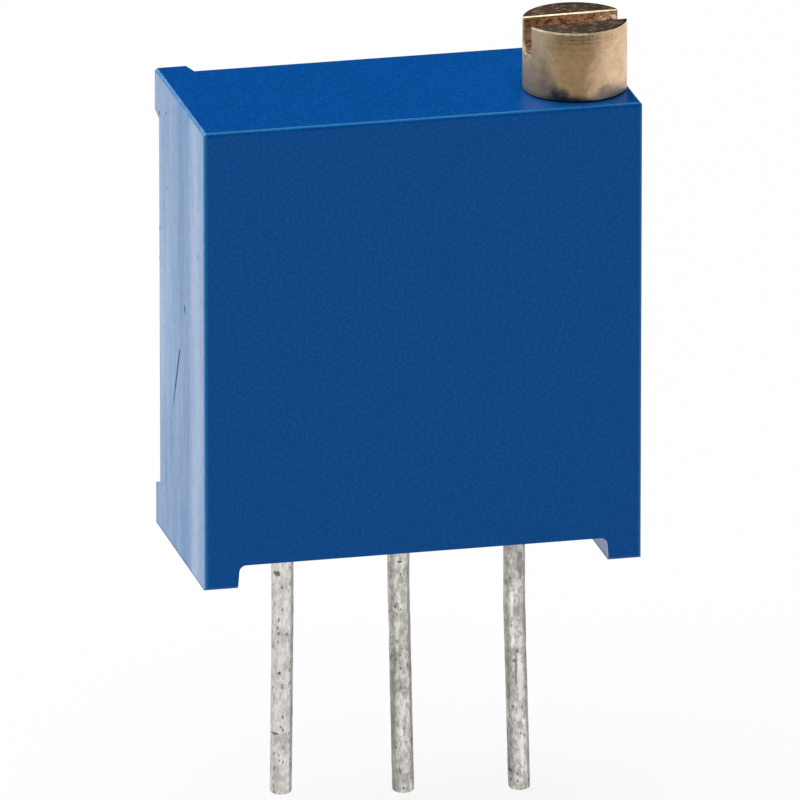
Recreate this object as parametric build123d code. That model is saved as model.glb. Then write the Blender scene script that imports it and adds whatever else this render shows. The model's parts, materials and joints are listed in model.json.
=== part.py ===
from build123d import *
import os
from math import acos, cos, pi, radians, sin, tan

# Multi-turn trimmer potentiometer: a square moulded case on two foot rails, a slotted brass worm screw,
# and a worm wheel that sweeps a spring wiper round a printed track.
# Frame: the middle pin's axis is the Z axis, the feet stand on z = 0, and the front face looks along -Y.

# Case
case_width = 9.53
case_height = 10.19
case_depth = 4.30
side_wall = 0.50
ledge_width = 0.25
front_wall = 0.55
edge_radius = 0.10
top_edge_break = 0.06
foot_width = 0.76
foot_draft = 0.04
foot_height = 0.52
foot_fillet = 0.15
pad_width = 0.77
pad_length = 1.00
pad_height = 0.40
pad_slope = 0.09
cut_overrun = 1.00

# Pins and their slots
pin_diameter = 0.48
pin_pitch = 2.54
pin_setback = 2.35
pin_tip_chamfer = 0.06
coin_width = 0.62
coin_thickness = 0.26
coin_start = 0.10
coin_reach = 0.85
slot_width = 0.80
left_pin_length = 5.49
left_pin_bend = 1.50
left_pin_lean = -0.045
middle_pin_length = 5.67
middle_pin_bend = 0.90
middle_pin_lean = 0.105
right_pin_length = 5.81
right_pin_bend = 1.50
right_pin_lean = 0.12

# Adjusting screw
screw_inset_x = 1.16
screw_inset_y = 1.37
head_diameter = 2.22
head_height = 1.51
head_chamfer = 0.05
head_gap = 0.03
drive_slot_width = 0.64
drive_slot_depth = 0.67
drive_slot_angle = 2
shank_diameter = 1.50
bore_clearance = 0.03
seal_depth = 0.70
seal_cord = 0.26
seal_clearance = 0.01
clip_depth = 1.25
clip_thickness = 0.25
clip_clearance = 0.02
clip_width = 1.78
clip_reach = 0.75
clip_groove_diameter = 0.90
boss_width = 2.40
boss_ledge = 0.40
tail_diameter = 0.62
tail_gap = 0.05
bearing_diameter = 1.24
bearing_height = 0.90
bearing_depth = 0.80

# Worm and wheel; the shares are of the pitch
worm_pitch_radius = 0.55
worm_length = 1.80
worm_clearance = 0.08
thread_sink = 0.02
wheel_teeth = 33
pressure_angle = 20
addendum_share = 0.30
dedendum_share = 0.38
tooth_share = 0.46
wheel_width = 0.90
wheel_bore = 1.30
pivot_clearance = 0.03
pivot_recess = 0.10
thrust_diameter = 2.00
recess_inner_radius = 1.15
recess_outer_radius = 2.35
recess_depth = 0.45
stop_clearance = 0.05
lug_half_angle = 12
block_half_angle = 30.5

# Wiper
wiper_sheet = 0.08
wiper_width = 1.70
wiper_top = 1.55
wiper_bottom = 1.45
wiper_corner = 0.20
window_width = 0.90
window_top = 0.80
window_bottom = 0.70
stake_length = 0.40
stake_width = 0.22
stake_clearance = 0.01
stake_head_margin = 0.08
stake_head_height = 0.06
stake_radius = 1.12
finger_width = 0.20
finger_gap = 0.06
finger_tip = 0.16
finger_bend = 0.12
finger_lift = 0.12
contact_gap = 0.02
outer_fingers = 4
inner_fingers = 2

# Substrate, printed films, solder and potting
substrate_thickness = 0.64
substrate_clearance = 0.03
film_thickness = 0.02
track_radius = 2.30
track_width = 0.60
track_half_angle = 141
track_lead_angle = 12
collector_diameter = 1.80
lead_width = 0.60
film_pad_width = 0.90
film_pad_reach = 1.10
solder_width = 0.80
solder_height = 0.34
solder_margin = 0.12
solder_taper = 15
solder_chamfer = 0.08
potting_recess = 0.15

# Levels and places that follow from the sizes above
half_width = case_width / 2
front_y = -pin_setback
rim_y = front_y + case_depth
pad_y = rim_y + pad_height
cavity_front_y = front_y + front_wall
film_y = coin_thickness / 2
ledge_y = film_y + film_thickness
substrate_rear_y = ledge_y + substrate_thickness
potting_rear_y = rim_y - potting_recess
pocket_x = half_width - side_wall
pocket_low_z = foot_height + side_wall
pocket_high_z = case_height - side_wall
cavity_x = pocket_x - ledge_width
cavity_low_z = pocket_low_z + ledge_width
cavity_high_z = pocket_high_z - ledge_width

screw_x = half_width - screw_inset_x
screw_y = front_y + screw_inset_y
shank_radius = shank_diameter / 2
bore_radius = shank_radius + bore_clearance
clip_high_z = case_height - clip_depth
clip_low_z = clip_high_z - clip_thickness
boss_low_z = clip_low_z - clip_clearance - boss_ledge
bearing_high_z = cavity_low_z + bearing_height
bearing_low_z = bearing_high_z - bearing_depth

wheel_z = (pocket_low_z + pocket_high_z) / 2
wheel_pitch_radius = screw_x - worm_pitch_radius
tooth_pitch = 2 * pi * wheel_pitch_radius / wheel_teeth
addendum = addendum_share * tooth_pitch
dedendum = dedendum_share * tooth_pitch
worm_outer_radius = worm_pitch_radius + addendum
worm_root_radius = worm_pitch_radius - dedendum
worm_low_z = wheel_z - worm_length / 2
wheel_front_y = screw_y - wheel_width / 2
wheel_rear_y = screw_y + wheel_width / 2
recess_floor_y = wheel_front_y + recess_depth
wiper_rear_y = wheel_rear_y + wiper_sheet


def block(x_low, x_high, y_low, y_high, z_low, z_high):
    """A box given by its six faces."""
    size = (x_high - x_low, y_high - y_low, z_high - z_low)
    corner = Pos(x_low, y_low, z_low)
    return corner * Box(*size, align=(Align.MIN, Align.MIN, Align.MIN))


def upright(x, y, radius, z_low, z_high):
    """A cylinder along Z."""
    base = Pos(x, y, z_low)
    return base * Cylinder(radius, z_high - z_low, align=(Align.CENTER, Align.CENTER, Align.MIN))


def wheel_plane(y):
    """The plane square to the wheel's axis at the given y: local x is X, local y is Z, from the axis."""
    return Plane(origin=(0, y, wheel_z), x_dir=(1, 0, 0), z_dir=(0, -1, 0))


def slab(sketch, y_low, y_high):
    """A sketch about the wheel's axis, made into a solid between two y levels."""
    return extrude(wheel_plane(y_high) * sketch, amount=y_high - y_low)


def ring(inner_radius, outer_radius):
    """A flat ring."""
    return Circle(outer_radius) - Circle(inner_radius)


def polar(radius, angle):
    """The point at a radius and an angle in degrees."""
    return (radius * cos(radians(angle)), radius * sin(radians(angle)))


def ring_sector(inner_radius, outer_radius, middle_angle, half_angle):
    """A piece of a flat ring, between two radial ends."""
    low_angle = middle_angle - half_angle
    high_angle = middle_angle + half_angle
    outer = ThreePointArc(*(polar(outer_radius, a) for a in (low_angle, middle_angle, high_angle)))
    inner = ThreePointArc(*(polar(inner_radius, a) for a in (high_angle, middle_angle, low_angle)))
    ends = [Line(outer @ 1, inner @ 0), Line(inner @ 1, outer @ 0)]
    return make_face([outer, ends[0], inner, ends[1]])


def case_outline():
    """The moulding's outside: rounded front and top, foot rails below and four pads behind."""
    shape = block(-half_width, half_width, front_y, pad_y, 0, case_height)
    shape = chamfer(shape.faces().sort_by(Axis.Z)[-1].edges().filter_by(Axis.Y), top_edge_break)
    shape = fillet(shape.faces().sort_by(Axis.Y)[0].edges(), edge_radius)

    arch = extrude(Plane.XZ * foot_arch(), amount=case_depth + cut_overrun, both=True)
    across = pad_gap(half_width - pad_width)
    upward = pad_gap(case_height / 2 - pad_length)
    between_sides = extrude(Plane.XY * across, amount=case_height + cut_overrun, both=True)
    middle = Plane(origin=(0, 0, case_height / 2), x_dir=(0, 0, 1), z_dir=(-1, 0, 0))
    between_ends = extrude(middle * upward, amount=case_width, both=True)
    return shape - arch - between_sides - between_ends


def foot_arch():
    """The profile cut away between the foot rails: wider at the feet, with round upper corners."""
    high = half_width - foot_width
    low = high + foot_draft
    arch = make_face(Polyline((-low, 0), (-high, foot_height), (high, foot_height), (low, 0), close=True))
    return fillet(arch.vertices().group_by(Axis.Y)[-1], foot_fillet)


def pad_gap(half_gap):
    """The profile cut away between two rear pads, a little wider at the pads' tops."""
    wide = half_gap + pad_slope
    points = [(-half_gap, rim_y), (half_gap, rim_y), (wide, pad_y), (-wide, pad_y)]
    return make_face(Polyline(*points, close=True))


def pin_slot(x, y_high, z_high):
    """The round-ended slot in the floor through which a pin is laid in from behind."""
    radius = slot_width / 2
    straight = block(x - radius, x + radius, 0, y_high, foot_height, z_high)
    return straight + upright(x, 0, radius, foot_height, z_high)


def housing():
    """The case: open behind, with the screw's bore and clip slot, a tail bearing and the wheel's pivot."""
    case = case_outline()
    case -= block(-pocket_x, pocket_x, ledge_y, pad_y, pocket_low_z, pocket_high_z)
    case -= block(-cavity_x, cavity_x, cavity_front_y, ledge_y, cavity_low_z, cavity_high_z)
    case -= upright(screw_x, screw_y, worm_outer_radius + worm_clearance, bearing_high_z, cavity_high_z)

    boss_left_x = screw_x - boss_width / 2
    case += block(boss_left_x, pocket_x, cavity_front_y, ledge_y, boss_low_z, pocket_high_z)
    case -= upright(screw_x, screw_y, bore_radius, boss_low_z, case_height)
    clip_half = clip_width / 2 + clip_clearance
    case -= block(screw_x - clip_half, screw_x + clip_half, screw_y - clip_reach - clip_clearance, ledge_y,
                  clip_low_z - clip_clearance, clip_high_z + clip_clearance)

    case += upright(screw_x, screw_y, bearing_diameter / 2, pocket_low_z, bearing_high_z)
    case -= upright(screw_x, screw_y, tail_diameter / 2 + bore_clearance, bearing_low_z, bearing_high_z)

    pivot_radius = wheel_bore / 2 - pivot_clearance
    case += slab(Circle(pivot_radius), cavity_front_y, wheel_rear_y - pivot_recess)
    case += slab(Circle(thrust_diameter / 2), cavity_front_y, wheel_front_y - pivot_clearance)
    stop = ring_sector(recess_inner_radius + stop_clearance, recess_outer_radius - stop_clearance,
                       -90, block_half_angle)
    case += slab(stop, cavity_front_y, recess_floor_y - stop_clearance)

    for place in (-1, 0, 1):
        case -= pin_slot(place * pin_pitch, rim_y, cavity_low_z)
    return case


def worm_thread():
    """One right-hand thread with straight flanks, swept up a helix round the screw's core."""
    slope = tan(radians(pressure_angle))
    inner_radius = worm_root_radius - thread_sink
    tip_half = tooth_share * tooth_pitch / 2 - addendum * slope
    foot_half = tip_half + (worm_outer_radius - inner_radius) * slope
    outline = [(inner_radius, -foot_half), (worm_outer_radius, -tip_half),
               (worm_outer_radius, tip_half), (inner_radius, foot_half)]
    tooth = make_face(Plane.XZ * Polyline(*outline, close=True))
    helix = Helix(pitch=tooth_pitch, height=worm_length, radius=worm_pitch_radius)
    thread = sweep(tooth, path=helix, is_frenet=True)
    # The thread's crest faces the wheel at the height of the wheel's axis
    half_turn = 180 * worm_length / tooth_pitch
    return Pos(screw_x, screw_y, worm_low_z) * Rot(0, 0, 180 - half_turn) * thread


def adjusting_screw():
    """The screw: slotted head, grooved shank, worm and tail in one turned piece."""
    head_low_z = case_height + head_gap
    head_high_z = head_low_z + head_height
    head_radius = head_diameter / 2
    groove_radius = bore_radius - seal_cord - 2 * seal_clearance
    groove_half = seal_cord / 2 + seal_clearance
    seal_z = case_height - seal_depth
    clip_radius = clip_groove_diameter / 2
    profile = [
        (0, head_high_z),
        (head_radius - head_chamfer, head_high_z),
        (head_radius, head_high_z - head_chamfer),
        (head_radius, head_low_z),
        (shank_radius, head_low_z),
        (shank_radius, seal_z + groove_half),
        (groove_radius, seal_z + groove_half),
        (groove_radius, seal_z - groove_half),
        (shank_radius, seal_z - groove_half),
        (shank_radius, clip_high_z + clip_clearance),
        (clip_radius, clip_high_z + clip_clearance),
        (clip_radius, clip_low_z - clip_clearance),
        (shank_radius, clip_low_z - clip_clearance),
        (shank_radius, boss_low_z),
        (worm_root_radius, boss_low_z),
        (worm_root_radius, bearing_high_z + tail_gap),
        (tail_diameter / 2, bearing_high_z + tail_gap),
        (tail_diameter / 2, bearing_low_z + tail_gap),
        (0, bearing_low_z + tail_gap),
    ]
    turned = revolve(make_face(Plane.XZ * Polyline(*profile, close=True)), Axis.Z)
    blade = block(-head_diameter, head_diameter, -drive_slot_width / 2, drive_slot_width / 2,
                  head_high_z - drive_slot_depth, head_high_z + cut_overrun)
    turned -= Rot(0, 0, drive_slot_angle) * blade
    return Pos(screw_x, screw_y, 0) * turned + worm_thread()


def screw_seal():
    """The square-cut rubber ring in the shank's groove."""
    outer_radius = bore_radius - seal_clearance
    low_z = case_height - seal_depth - seal_cord / 2
    section = ring(outer_radius - seal_cord, outer_radius)
    return extrude(Pos(screw_x, screw_y, low_z) * section, amount=seal_cord)


def retaining_clip():
    """The flat fork, pushed in from behind, whose throat holds the shank by its groove."""
    throat = clip_groove_diameter / 2 + bore_clearance
    half = clip_width / 2
    front = screw_y - clip_reach
    fork = block(screw_x - half, screw_x + half, front, ledge_y, clip_low_z, clip_high_z)
    fork -= upright(screw_x, screw_y, throat, clip_low_z, clip_high_z)
    fork -= block(screw_x - throat, screw_x + throat, front, screw_y, clip_low_z, clip_high_z)
    return fork


def involute(angle):
    """The involute function of an angle in radians."""
    return tan(angle) - angle


def tooth_half_angle(radius):
    """Half of the angle, in degrees, that an involute tooth takes up at a radius."""
    base_radius = wheel_pitch_radius * cos(radians(pressure_angle))
    at_pitch = tooth_share * tooth_pitch / (2 * wheel_pitch_radius)
    opening = involute(radians(pressure_angle)) - involute(acos(min(1, base_radius / radius)))
    return 180 / pi * (at_pitch + opening)


def wheel_outline():
    """The wheel's toothed edge: curved flanks, flat lands, and a gap between teeth on the local x axis."""
    tip_radius = wheel_pitch_radius + addendum
    root_radius = wheel_pitch_radius - dedendum
    base_radius = wheel_pitch_radius * cos(radians(pressure_angle))
    flank_radii = (base_radius, wheel_pitch_radius, tip_radius)
    step = 360 / wheel_teeth
    edges = []
    for tooth in range(wheel_teeth):
        middle = (tooth + 0.5) * step
        rising = [polar(r, middle - tooth_half_angle(r)) for r in flank_radii]
        falling = [polar(r, middle + tooth_half_angle(r)) for r in reversed(flank_radii)]
        foot = tooth_half_angle(base_radius)
        root_in = polar(root_radius, middle - foot)
        root_out = polar(root_radius, middle + foot)
        root_next = polar(root_radius, middle + step - foot)
        edges += [
            Line(root_in, rising[0]),
            ThreePointArc(*rising),
            Line(rising[-1], falling[0]),
            ThreePointArc(*falling),
            Line(falling[-1], root_out),
            Line(root_out, root_next),
        ]
    return make_face(edges)


def worm_wheel():
    """The wheel: helical teeth that follow the worm, a stop lug in its front and stakes for the wiper."""
    lead_slope = tooth_pitch / (2 * pi * worm_pitch_radius)
    twist = 180 / pi * wheel_width / 2 * lead_slope / wheel_pitch_radius
    outline = wheel_outline()
    ends = [wheel_plane(wheel_front_y) * Rot(0, 0, twist) * outline,
            wheel_plane(wheel_rear_y) * Rot(0, 0, -twist) * outline]
    wheel = loft(ends, ruled=True)
    wheel -= slab(Circle(wheel_bore / 2), wheel_front_y, wheel_rear_y)
    channel = ring(recess_inner_radius, recess_outer_radius)
    lug = ring_sector(recess_inner_radius, recess_outer_radius, 90, lug_half_angle)
    wheel -= slab(channel - lug, wheel_front_y, recess_floor_y)
    for side in (-1, 1):
        wheel += slab(stake(side, 0), wheel_rear_y, wiper_rear_y)
        wheel += slab(stake(side, stake_head_margin), wiper_rear_y, wiper_rear_y + stake_head_height)
    return wheel


def stake(side, margin):
    """The outline of the stake above or below the wheel's axis, widened by a margin."""
    return Pos(0, side * stake_radius) * Rectangle(stake_length + 2 * margin, stake_width + 2 * margin)


def finger_row(count, root_height, tip_height):
    """A row of spring fingers: each leaves the sheet, rises to the films and turns back at its tip."""
    sheet_y = wheel_rear_y + wiper_sheet / 2
    contact_y = film_y - contact_gap - wiper_sheet / 2
    root_z = wheel_z + root_height
    tip_z = wheel_z + tip_height
    lead_z = root_z - (finger_tip if tip_z > root_z else -finger_tip)
    end_z = tip_z + (finger_tip if tip_z > root_z else -finger_tip)
    path = FilletPolyline((sheet_y, lead_z), (sheet_y, root_z), (contact_y, tip_z),
                          (contact_y - finger_lift, end_z), radius=finger_bend)
    strip = trace(path, line_width=wiper_sheet)
    step = finger_width + finger_gap
    fingers = []
    for i in range(count):
        left_x = (i - (count - 1) / 2) * step - finger_width / 2
        side = Plane(origin=(left_x, 0, 0), x_dir=(0, 1, 0), z_dir=(1, 0, 0))
        fingers.append(extrude(side * strip, amount=finger_width))
    return fingers


def wiper():
    """The stamped spring: a windowed sheet with fingers for the track above and for the collector inside."""
    sheet = Pos(0, (wiper_top - wiper_bottom) / 2) * RectangleRounded(
        wiper_width, wiper_top + wiper_bottom, wiper_corner)
    window = Pos(0, (window_top - window_bottom) / 2) * Rectangle(window_width, window_top + window_bottom)
    sheet -= window
    for side in (-1, 1):
        sheet -= stake(side, stake_clearance)
    spring = slab(sheet, wheel_rear_y, wiper_rear_y)
    spring += finger_row(outer_fingers, wiper_top, track_radius)
    spring += finger_row(inner_fingers, -window_bottom, 0)
    return spring


def substrate():
    """The ceramic plate on the ledge."""
    x = pocket_x - substrate_clearance
    return block(-x, x, ledge_y, substrate_rear_y,
                 pocket_low_z + substrate_clearance, pocket_high_z - substrate_clearance)


def film(sketch):
    """A printed film on the substrate's front face."""
    return slab(sketch, film_y, ledge_y)


def film_pad(x):
    """The soldering pad of a conductor, at the substrate's lower edge."""
    low = cavity_low_z - wheel_z
    return Pos(x, low) * Rectangle(film_pad_width, film_pad_reach, align=(Align.CENTER, Align.MIN))


def resistive_track():
    """The C-shaped track, open below."""
    return film(ring_sector(track_radius - track_width / 2, track_radius + track_width / 2,
                            90, track_half_angle))


def end_conductor(side):
    """The lead from one end of the track to its outer pin; side is -1 for left and 1 for right."""
    inner = track_radius - track_width / 2
    outer = track_radius + track_width / 2
    start = 90 - side * track_half_angle
    end = start - side * track_lead_angle
    pad_z = cavity_low_z + film_pad_reach - wheel_z
    pad_x = side * pin_pitch
    half = side * film_pad_width / 2
    corners = [polar(outer, end), polar(outer, start), (pad_x + half, pad_z), (pad_x - half, pad_z)]
    lead = make_face(Polyline(*corners, close=True))
    root = ring_sector(inner, outer, (start + end) / 2, track_lead_angle / 2)
    return film(root + lead + film_pad(pad_x))


def middle_conductor():
    """The collector under the inner fingers, with its lead down to the middle pin."""
    drop = wheel_z - cavity_low_z
    lead = Rectangle(lead_width, drop, align=(Align.CENTER, Align.MAX))
    return film(Circle(collector_diameter / 2) + lead + film_pad(0))


def pin_coin(x):
    """The flattened upper end of a pin, which lies on its film pad."""
    half = coin_width / 2
    return block(x - half, x + half, -coin_thickness / 2, film_y,
                 foot_height + coin_start, cavity_low_z + coin_reach)


def pin(x, length, bend, lean):
    """A tinned wire: coined above, straight through the floor, then leaning a little, with a broken edge."""
    top = (x, foot_height + coin_start)
    path = Polyline(top, (x, -bend), (x + lean, -length))
    wire = sweep(Plane(origin=(x, 0, top[1]), z_dir=(0, 0, -1)) * Circle(pin_diameter / 2),
                 path=Plane.XZ * path, transition=Transition.RIGHT)
    wire = chamfer(wire.faces().sort_by(Axis.Z)[0].edges(), pin_tip_chamfer)
    return wire + pin_coin(x)


def solder(x):
    """The solder over a pin's coined end, thinning towards its top."""
    low_z = cavity_low_z - wheel_z
    height = coin_reach + solder_margin
    foot = Pos(x, low_z) * Rectangle(solder_width, height, align=(Align.CENTER, Align.MIN))
    bead = extrude(wheel_plane(film_y) * foot, amount=solder_height, taper=solder_taper)
    front = bead.faces().sort_by(Axis.Y)[0]
    bead = chamfer(front.edges(), solder_chamfer)
    return bead - pin_coin(x)


def potting(pins):
    """The resin behind the substrate, which also fills the slots round the pins."""
    resin = block(-pocket_x, pocket_x, substrate_rear_y, potting_rear_y, pocket_low_z, pocket_high_z)
    for place in (-1, 0, 1):
        resin += pin_slot(place * pin_pitch, potting_rear_y, pocket_low_z)
    for wire in pins:
        resin -= wire
    return resin


left_pin = pin(-pin_pitch, left_pin_length, left_pin_bend, left_pin_lean)
middle_pin = pin(0, middle_pin_length, middle_pin_bend, middle_pin_lean)
right_pin = pin(pin_pitch, right_pin_length, right_pin_bend, right_pin_lean)

nodes = {
    "housing": housing(),
    "adjusting_screw": adjusting_screw(),
    "screw_seal": screw_seal(),
    "retaining_clip": retaining_clip(),
    "worm_wheel": worm_wheel(),
    "wiper": wiper(),
    "substrate": substrate(),
    "resistive_track": resistive_track(),
    "left_conductor": end_conductor(-1),
    "middle_conductor": middle_conductor(),
    "right_conductor": end_conductor(1),
    "left_pin": left_pin,
    "middle_pin": middle_pin,
    "right_pin": right_pin,
    "left_solder": solder(-pin_pitch),
    "middle_solder": solder(0),
    "right_solder": solder(pin_pitch),
    "potting": potting([left_pin, middle_pin, right_pin]),
}

os.makedirs("parts", exist_ok=True)
for name, shape in nodes.items():
    export_step(shape, f"parts/{name}.step")
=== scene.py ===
"""Looks of a multi-turn trimmer potentiometer.

It has a blue moulded case, a slotted brass worm screw and three tinned pins. Sizes are in millimetres and
become metres when a mesh is made. The frame is the CAD part's: the middle pin's axis is the Z axis, the feet
stand on z = 0 and the front face looks along -Y.
"""

import json
import logging
import math
from dataclasses import asdict, dataclass, field, replace
from enum import Enum
from functools import reduce

import bmesh
import bpy
import numpy as np
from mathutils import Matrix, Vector


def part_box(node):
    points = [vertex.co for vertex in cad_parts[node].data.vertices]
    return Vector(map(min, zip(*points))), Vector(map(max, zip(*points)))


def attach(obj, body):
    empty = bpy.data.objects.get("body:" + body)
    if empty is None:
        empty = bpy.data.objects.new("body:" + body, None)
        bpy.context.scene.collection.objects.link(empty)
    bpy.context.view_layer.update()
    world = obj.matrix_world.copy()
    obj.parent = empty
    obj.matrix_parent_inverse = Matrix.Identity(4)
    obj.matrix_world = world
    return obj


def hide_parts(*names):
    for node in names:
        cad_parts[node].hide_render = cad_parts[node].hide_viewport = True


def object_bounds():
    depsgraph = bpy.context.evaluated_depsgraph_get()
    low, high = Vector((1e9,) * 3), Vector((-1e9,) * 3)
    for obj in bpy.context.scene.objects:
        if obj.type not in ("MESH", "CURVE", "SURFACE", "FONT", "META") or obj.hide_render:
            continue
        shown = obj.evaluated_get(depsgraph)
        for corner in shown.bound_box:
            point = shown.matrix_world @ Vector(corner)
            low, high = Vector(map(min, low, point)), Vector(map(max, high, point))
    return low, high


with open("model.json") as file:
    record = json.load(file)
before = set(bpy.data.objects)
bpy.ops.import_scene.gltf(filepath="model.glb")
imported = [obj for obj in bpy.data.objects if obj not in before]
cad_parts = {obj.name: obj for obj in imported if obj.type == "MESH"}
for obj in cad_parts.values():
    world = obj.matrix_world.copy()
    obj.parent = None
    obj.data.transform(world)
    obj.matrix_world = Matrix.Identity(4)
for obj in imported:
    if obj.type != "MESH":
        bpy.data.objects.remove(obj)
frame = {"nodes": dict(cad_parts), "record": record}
CAD_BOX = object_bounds()

MM = 0.001
PER_METRE = 1000.0
SHARP_ANGLE = 35.0
log = logging.getLogger("trimmer")

Colour = tuple[float, float, float]
Socket = bpy.types.NodeSocket


# Meshes


@dataclass
class Patch:
    """A grid of points whose neighbours are joined by quads.

    Attributes:
        points: Array of rows by columns by 3, in millimetres.
        round_columns: The last column joins the first.
        round_rows: The last row joins the first.
    """

    points: np.ndarray
    round_columns: bool = False
    round_rows: bool = False

    def quads(self, start: int) -> np.ndarray:
        """Numbers the corners of every quad of the grid.

        Args:
            start: Number of the grid's first point in the whole mesh.

        Returns:
            Array of quads by 4 corner numbers.
        """
        rows, columns = self.points.shape[:2]
        number = start + np.arange(rows * columns).reshape(rows, columns)
        if self.round_columns:
            number = np.concatenate([number, number[:, :1]], axis=1)
        if self.round_rows:
            number = np.concatenate([number, number[:1]], axis=0)
        corners = [number[:-1, :-1], number[:-1, 1:], number[1:, 1:], number[1:, :-1]]
        return np.stack(corners, axis=-1).reshape(-1, 4)


@dataclass
class Shape:
    """Patches and flat closing faces that together make one closed skin."""

    patches: list[Patch] = field(default_factory=list)
    loops: list[np.ndarray] = field(default_factory=list)

    def piece(self, name: str, weld: float = 0.0008) -> bpy.types.Object:
        """Makes the mesh object: points closer than the weld become one, and all faces are turned outwards.

        Args:
            name: Name of the piece.
            weld: Merging distance in millimetres.

        Returns:
            The new object, linked to the scene.
        """
        grids = [p.points.reshape(-1, 3) for p in self.patches] + self.loops
        starts = np.cumsum([0] + [len(g) for g in grids])
        faces = np.concatenate([p.quads(s) for p, s in zip(self.patches, starts)]).tolist()
        ends = starts[len(self.patches) :]
        faces += [list(range(s, s + len(loop))) for loop, s in zip(self.loops, ends)]
        mesh = bpy.data.meshes.new(name)
        mesh.from_pydata((np.concatenate(grids) * MM).tolist(), [], faces)
        work = bmesh.new()
        work.from_mesh(mesh)
        bmesh.ops.remove_doubles(work, verts=work.verts, dist=weld * MM)
        bmesh.ops.recalc_face_normals(work, faces=work.faces)
        work.to_mesh(mesh)
        work.free()
        mesh.polygons.foreach_set("use_smooth", np.ones(len(mesh.polygons), dtype=bool))
        mesh.update()
        made = bpy.data.objects.new(name, mesh)
        bpy.context.scene.collection.objects.link(made)
        return made


def joint_place(name: str) -> tuple[float, float, float]:
    """The place of a joint of the record.

    Args:
        name: Name of the joint.

    Returns:
        X, Y and Z in millimetres.
    """
    joints = {joint["name"]: joint for joint in frame["record"]["behaviour"]["joints"]}
    return tuple(value / MM for value in joints[name]["pos_m"])


def smooth_step(value: np.ndarray, low: float, high: float) -> np.ndarray:
    """Rises from 0 at low to 1 at high along the cubic 3t^2 - 2t^3.

    Args:
        value: Where the step is read.
        low: Start of the step.
        high: End of the step.

    Returns:
        The step's height at each value.
    """
    t = np.clip((value - low) / (high - low), 0.0, 1.0)
    return t * t * (3.0 - 2.0 * t)


def turned(radii: np.ndarray, heights: np.ndarray, angles: np.ndarray,
           axis: tuple[float, float]) -> np.ndarray:
    """Turns a profile about an upright axis: x = radius cos(angle), y = radius sin(angle), z = height.

    Args:
        radii: Profile radii.
        heights: Profile heights.
        angles: Angles of the columns, in radians.
        axis: X and Y of the axis.

    Returns:
        Array of profile points by angles by 3.
    """
    x = axis[0] + np.outer(radii, np.cos(angles))
    y = axis[1] + np.outer(radii, np.sin(angles))
    z = np.outer(heights, np.ones_like(angles))
    return np.stack([x, y, z], axis=-1)


def round_edges(piece: bpy.types.Object, width: float, segments: int, weighted: bool = False) -> None:
    """Rounds edges of a piece with a Bevel modifier.

    Args:
        piece: The mesh object.
        width: Width of the round in millimetres.
        segments: Steps across the round.
        weighted: Whether edges with a bevel weight are rounded, and not those that are sharp.
    """
    bevel = piece.modifiers.new("rounded_edges", "BEVEL")
    bevel.width = width * MM
    bevel.segments = segments
    bevel.limit_method = "WEIGHT" if weighted else "ANGLE"
    bevel.angle_limit = math.radians(SHARP_ANGLE)
    bevel.harden_normals = True


# Shading


class Graph:
    """A node tree with short ways to add nodes and join them."""

    def __init__(self, tree: bpy.types.NodeTree) -> None:
        """Takes the tree to build in."""
        self.tree = tree

    def add(self, kind: str, inputs: dict[str | int, object] | None = None,
            **settings: object) -> bpy.types.Node:
        """Adds one node.

        Args:
            kind: Node type without the ShaderNode prefix.
            inputs: Values or sockets, by input name or number.
            **settings: Properties of the node.

        Returns:
            The node.
        """
        node = self.tree.nodes.new("ShaderNode" + kind)
        for key, value in settings.items():
            setattr(node, key, value)
        for key, value in (inputs or {}).items():
            if isinstance(value, Socket):
                self.tree.links.new(value, node.inputs[key])
            else:
                node.inputs[key].default_value = value
        return node

    def math(self, operation: str, first: object, second: object = 0.0, clamp: bool = False) -> Socket:
        """Adds a Math node.

        Args:
            operation: Name of the operation.
            first: First value or socket.
            second: Second value or socket.
            clamp: Whether the result is kept between 0 and 1.

        Returns:
            The result's socket.
        """
        return self.add("Math", {0: first, 1: second}, operation=operation, use_clamp=clamp).outputs[0]

    def times(self, *values: object) -> Socket:
        """Multiplies values or sockets."""
        return reduce(lambda first, second: self.math("MULTIPLY", first, second), values)

    def plus(self, *values: object) -> Socket:
        """Adds values or sockets."""
        return reduce(lambda first, second: self.math("ADD", first, second), values)

    def most(self, *values: object) -> Socket:
        """Takes the largest of values or sockets."""
        return reduce(lambda first, second: self.math("MAXIMUM", first, second), values)

    def minus(self, first: object, second: object) -> Socket:
        """Takes the second value or socket from the first."""
        return self.math("SUBTRACT", first, second)

    def span(self, value: Socket, low: float, high: float, start: float = 0.0, end: float = 1.0) -> Socket:
        """Maps low to start and high to end with a smooth step, and holds beyond them.

        Args:
            value: The value's socket.
            low: Value that gives start.
            high: Value that gives end.
            start: Result at low.
            end: Result at high.

        Returns:
            The mapped value's socket.
        """
        ends = {"From Min": low, "From Max": high, "To Min": start, "To Max": end}
        return self.add("MapRange", {"Value": value, **ends}, interpolation_type="SMOOTHSTEP").outputs[0]

    def blend(self, share: Socket, first: object, second: object) -> Socket:
        """Mixes two colours.

        Args:
            share: Share of the second colour.
            first: First colour or socket.
            second: Second colour or socket.

        Returns:
            The mixed colour's socket.
        """
        colours = [c if isinstance(c, Socket) else (*c, 1.0) for c in (first, second)]
        node = self.add("Mix", {0: share, 6: colours[0], 7: colours[1]}, data_type="RGBA")
        return node.outputs[2]

    def bump(self, height: Socket, depth: float, strength: float = 1.0) -> Socket:
        """Turns a height into a normal.

        Args:
            height: Height from 0 to 1.
            depth: Depth of the relief in millimetres.
            strength: Share of the relief that shows.

        Returns:
            The normal's socket.
        """
        return self.add("Bump", {"Height": height, "Distance": depth * MM, "Strength": strength}).outputs[0]


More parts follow.
